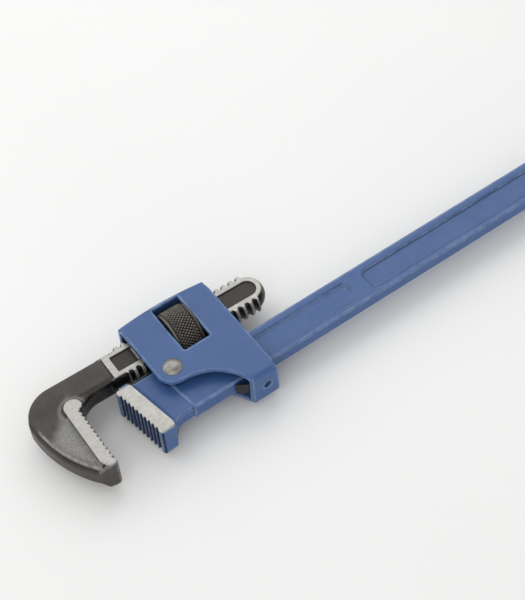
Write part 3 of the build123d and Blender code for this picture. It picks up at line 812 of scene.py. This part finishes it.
GROUND_STEEL = (0.43, 0.42, 0.40)
GROUND_STEEL_DULL = (0.36, 0.35, 0.33)
# Black used for painted shade on the hook jaw.
SHADE_BLACK = (0.010, 0.009, 0.009)


def blue_enamel():
    """Satin blue enamel over a forging, with the heel land ground bare, painted shade darkening its tooth
    grooves and inside corners, and its edges lightened partly as wear and partly as painted highlight.
    """
    paint = Paint("blue_enamel")
    cloud = paint.noise(60, 3)
    speckle = paint.noise(1500, 2)
    blue = paint.mix(paint.spread(cloud, 0.3, 0.7), (0.030, 0.084, 0.240), (0.037, 0.096, 0.262))
    blue = paint.mix(paint.spread(speckle, 0.45, 0.75, 0, 0.3), blue, (0.085, 0.145, 0.29))
    # Painted shade: the tooth grooves and the inside corners go to a near-black navy.
    shade_in_hollows = paint.sum("MAXIMUM", paint.mark("groove"), paint.sum("MULTIPLY", paint.mark("corner"), 0.85))
    blue = paint.mix(shade_in_hollows, blue, (0.003, 0.008, 0.032))
    # Edges lightened partly as rubbed-thin paint and partly as painted highlight.
    edge_lightening = paint.sum("MULTIPLY", paint.mark("edge"), paint.spread(paint.noise(260, 4), 0.35, 0.65, 0.35, 0.9))
    edge_lightening = paint.sum("MULTIPLY", edge_lightening, paint.sum("SUBTRACT", 1.0, paint.mark("groove")))
    blue = paint.mix(edge_lightening, blue, (0.14, 0.22, 0.38))
    grain = paint.noise(900, 3, stretch=(0.35, 1.0, 1.0))
    steel = paint.mix(paint.spread(grain, 0.3, 0.7), GROUND_STEEL_DULL, GROUND_STEEL)
    ground = paint.spread(paint.mark("ground"), -0.12, 0.12)
    peel = paint.bump(paint.noise(620, 3), 0.00012, 0.5)
    peel = paint.bump(paint.noise(160, 2), 0.0003, 0.25, peel)
    rough = paint.spread(paint.noise(300, 3), 0.3, 0.7, 0.34, 0.44)
    rough = paint.sum("ADD", rough, paint.sum("MULTIPLY", paint.mark("groove"), 0.4))
    return paint.finish(paint.mix(ground, blue, steel), rough, paint.sum("MULTIPLY", ground, 0.9), peel)


def jaw_steel():
    """Dark oxide on a forging, with a sand-textured flank, ground lands and a cut thread; painted shade turns
    its corners, hollows, neck underside, thread flanks and a halo round the land black.
    """
    paint = Paint("jaw_steel")
    cloud = paint.noise(90, 3)
    oxide = paint.mix(paint.spread(cloud, 0.25, 0.75), (0.038, 0.032, 0.029), (0.054, 0.046, 0.041))
    oxide = paint.mix(paint.spread(paint.noise(1900, 2), 0.45, 0.75, 0, 0.35), oxide, (0.095, 0.085, 0.077))
    # Painted shade: inside corners and creases go black.
    oxide = paint.mix(paint.mark("corner"), oxide, SHADE_BLACK)
    edge_lightening = paint.sum("MULTIPLY", paint.mark("edge"), paint.spread(paint.noise(300, 4), 0.3, 0.6, 0.35, 0.8))
    oxide = paint.mix(edge_lightening, oxide, (0.20, 0.19, 0.175))
    gritty = paint.noise(2200, 3, 0.7)
    ragged = paint.sum("ADD", paint.mark("grit"), paint.spread(paint.noise(150, 4), 0.2, 0.8, -1.8, 1.8))
    silver = paint.mix(paint.spread(gritty, 0.35, 0.65), (0.12, 0.118, 0.112), (0.29, 0.285, 0.275))
    colour = paint.mix(paint.spread(ragged, -7.0, 5.0), oxide, silver)
    chafed = paint.sum("MULTIPLY", paint.mark("rim"), paint.spread(paint.noise(500, 4), 0.35, 0.6, 0.3, 0.9))
    colour = paint.mix(chafed, colour, (0.34, 0.33, 0.31))
    ring = paint.mark("ring")
    band = paint.sum("SUBTRACT", paint.spread(ring, 1.2, 2.2), paint.spread(ring, 2.6, 4.2))
    colour = paint.mix(paint.sum("MULTIPLY", band, 0.4), colour, (0.24, 0.23, 0.215))
    # Painted shade: a dark halo close round the land, where it stands up from the neck.
    colour = paint.mix(paint.spread(ring, 0.3, 1.6, 0.85, 0.0), colour, SHADE_BLACK)
    # Painted shade: under the neck, on the recess walls and floor, in the notch and on the thread flanks the
    # colour goes black.
    shade = paint.spread(paint.mark("shade"), 0.3, 0.7)
    colour = paint.mix(shade, colour, SHADE_BLACK)
    cutting = paint.noise(1600, 3, stretch=(0.2, 1.0, 1.0))
    cut_steel = paint.mix(paint.spread(cutting, 0.3, 0.7), (0.22, 0.21, 0.20), (0.42, 0.41, 0.39))
    colour = paint.mix(paint.spread(paint.mark("thread"), -0.25, 0.25), colour, cut_steel)
    grain = paint.noise(1100, 3, stretch=(0.3, 1.0, 1.0))
    steel = paint.mix(paint.spread(grain, 0.3, 0.7), GROUND_STEEL_DULL, GROUND_STEEL)
    ground = paint.spread(paint.mark("ground"), -0.1, 0.1)
    colour = paint.mix(ground, colour, steel)
    normal = paint.bump(paint.noise(900, 4), 0.00012, 0.5)
    rough = paint.spread(paint.noise(400, 3), 0.3, 0.7, 0.36, 0.48)
    rough = paint.sum("SUBTRACT", rough, paint.sum("MULTIPLY", shade, 0.12))
    metal = paint.sum("ADD", 0.35, paint.sum("MULTIPLY", ground, 0.5))
    return paint.finish(colour, rough, metal, normal)


def nut_steel():
    """Dark oiled steel, bright where the knurl's tips are rubbed."""
    paint = Paint("nut_steel")
    height = paint.mark("height")
    rubbed = paint.spread(paint.noise(500, 3), 0.3, 0.7, 0.65, 1.0)
    tips = paint.sum("MULTIPLY", paint.spread(height, 0.2, 0.9), rubbed)
    colour = paint.mix(tips, (0.012, 0.011, 0.010), (0.185, 0.168, 0.145))
    grain = paint.bump(paint.noise(1500, 3), 0.00008, 0.5)
    return paint.finish(colour, paint.spread(paint.noise(900, 3), 0.3, 0.7, 0.34, 0.5), 0.6, grain)


def rivet_steel():
    """Peened bare steel."""
    paint = Paint("rivet_steel")
    colour = paint.mix(paint.spread(paint.noise(700, 4), 0.35, 0.65), (0.22, 0.215, 0.20), (0.32, 0.31, 0.29))
    normal = paint.bump(paint.noise(650, 3), 0.00012, 0.4)
    return paint.finish(colour, paint.spread(paint.noise(500, 3), 0.3, 0.7, 0.32, 0.44), 0.85, normal)


def spring_steel():
    """Blued spring steel."""
    paint = Paint("spring_steel")
    mottle = paint.spread(paint.noise(300, 4), 0.3, 0.7)
    colour = paint.mix(mottle, (0.008, 0.008, 0.010), (0.022, 0.022, 0.026))
    grain = paint.bump(paint.noise(1300, 3), 0.00006, 0.5)
    return paint.finish(colour, paint.spread(paint.noise(800, 3), 0.3, 0.7, 0.3, 0.45), 0.3, grain)


def floor_finish():
    """Plain pale matt floor."""
    paint = Paint("floor")
    tone = paint.mix(paint.spread(paint.noise(3, 2), 0.3, 0.7), (0.83, 0.83, 0.825), (0.85, 0.85, 0.845))
    return paint.finish(tone, 0.55, 0.0)


# ------------------------------------------------------------------ stage
CAMERA_AZIMUTH = math.radians(31.5)
CAMERA_ELEVATION = math.radians(53.59)
CAMERA_ROLL = math.radians(-5.03)
CAMERA_DISTANCE = 0.850
CAMERA_LENS = 95.4
CAMERA_AIM = (65.62, 13.43, 0.0)


def add_camera():
    """The camera, aimed at a point of the wrench's middle plane beside the handle."""
    forward = Vector((math.sin(CAMERA_AZIMUTH), math.cos(CAMERA_AZIMUTH), 0)) * math.cos(CAMERA_ELEVATION)
    forward.z = -math.sin(CAMERA_ELEVATION)
    level = Vector((math.cos(CAMERA_AZIMUTH), -math.sin(CAMERA_AZIMUTH), 0))
    up = level.cross(forward)
    right = level * math.cos(CAMERA_ROLL) + up * math.sin(CAMERA_ROLL)
    up = up * math.cos(CAMERA_ROLL) - level * math.sin(CAMERA_ROLL)
    turn = Matrix((right, up, -forward)).transposed().to_4x4()
    camera = bpy.data.objects.new("camera", bpy.data.cameras.new("camera"))
    camera.data.lens = CAMERA_LENS
    camera.data.clip_start = 0.01
    aim = Vector(to_row([CAMERA_AIM])[0])
    camera.matrix_world = Matrix.Translation(aim - forward * CAMERA_DISTANCE) @ turn
    bpy.context.scene.collection.objects.link(camera)
    bpy.context.scene.camera = camera


def add_area(name, place, aim, size, power):
    """A soft square light."""
    light = bpy.data.lights.new(name, "AREA")
    light.size = size
    light.energy = power
    lamp = bpy.data.objects.new(name, light)
    lamp.location = place
    lamp.rotation_euler = (Vector(aim) - Vector(place)).to_track_quat("-Z", "Y").to_euler()
    bpy.context.scene.collection.objects.link(lamp)


def add_stage():
    """A pale floor, a bright surround and three soft lights, two behind the wrench and one before it."""
    mesh = bpy.data.meshes.new("floor")
    reach = 6.0
    corners = [(-reach, -reach, 0), (reach, -reach, 0), (reach, reach, 0), (-reach, reach, 0)]
    mesh.from_pydata(corners, [], [(0, 1, 2, 3)])
    mesh.materials.append(floor_finish())
    floor = bpy.data.objects.new("floor", mesh)
    bpy.context.scene.collection.objects.link(floor)
    world = bpy.data.worlds.new("surround")
    world.use_nodes = True
    nodes, links = world.node_tree.nodes, world.node_tree.links
    split = nodes.new("ShaderNodeSeparateXYZ")
    fade = nodes.new("ShaderNodeMapRange")
    links.new(nodes.new("ShaderNodeTexCoord").outputs["Generated"], split.inputs["Vector"])
    links.new(split.outputs["Z"], fade.inputs["Value"])
    for name, number in (("From Min", 0.1), ("From Max", 0.8), ("To Min", 1.05), ("To Max", 0.6)):
        fade.inputs[name].default_value = number
    links.new(fade.outputs["Result"], nodes["Background"].inputs["Strength"])
    nodes["Background"].inputs["Color"].default_value = (1.0, 1.0, 0.995, 1.0)
    bpy.context.scene.world = world
    add_area("key", (-0.35, 0.75, 0.95), (0.0, 0.0, 0.0), 1.3, 5.5)
    add_area("sheen", (0.55, 0.55, 0.85), (0.12, 0.0, 0.0), 0.6, 1.7)
    add_area("fill", (-0.7, -0.6, 0.8), (0.0, 0.0, 0.0), 0.9, 2.0)
    bpy.context.scene.view_settings.view_transform = "Standard"


def paint_node(node, material):
    """A CAD node that stays gets a finish of its own."""
    shown = frame["nodes"][node]
    shown.data.materials.clear()
    shown.data.materials.append(material)


enamel = blue_enamel()
rivet_finish = rivet_steel()
spring_finish = spring_steel()
build_handle(enamel)
build_frame(enamel)
build_hook(jaw_steel())
build_nut(nut_steel())
build_rivet(rivet_finish)
build_frame_leaf(spring_finish)
paint_node("shank_leaf_spring", spring_finish)
paint_node("shank_coil_spring", spring_finish)
paint_node("shank_spring_rivet", rivet_finish)
add_camera()
add_stage()
